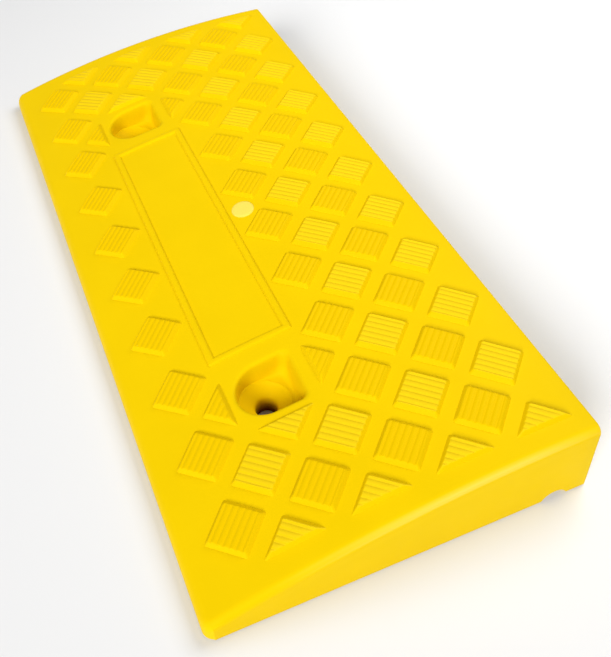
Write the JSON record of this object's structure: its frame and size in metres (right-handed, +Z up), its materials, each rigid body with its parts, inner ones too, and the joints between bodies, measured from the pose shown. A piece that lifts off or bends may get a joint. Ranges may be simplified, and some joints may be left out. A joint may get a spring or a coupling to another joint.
{
  "type": "kerb ramp",
  "caption": "Yellow moulded plastic kerb ramp with a curved deck of ribbed square lugs, a framed bare panel and sunk bolt pockets, on rubber grip pads.",
  "frame": {"origin": "on the ground, under the middle of the ramp", "axes": "+X along the kerb, +Y from the toe to the kerb face, +Z up"},
  "size_m": [0.5, 0.22, 0.0501],
  "materials": {
    "yellow_plastic": "satin",
    "grip_rubber": "matt"
  },
  "bodies": {
    "root": {"ramp_moulding": "yellow_plastic", "grip_pad_toe_1": "grip_rubber", "grip_pad_toe_2": "grip_rubber", "grip_pad_toe_3": "grip_rubber", "grip_pad_toe_4": "grip_rubber", "grip_pad_toe_5": "grip_rubber", "grip_pad_toe_6": "grip_rubber", "grip_pad_kerb_1": "grip_rubber", "grip_pad_kerb_2": "grip_rubber", "grip_pad_kerb_3": "grip_rubber", "grip_pad_kerb_4": "grip_rubber", "grip_pad_kerb_5": "grip_rubber", "grip_pad_kerb_6": "grip_rubber"}
  },
  "joints": []
}
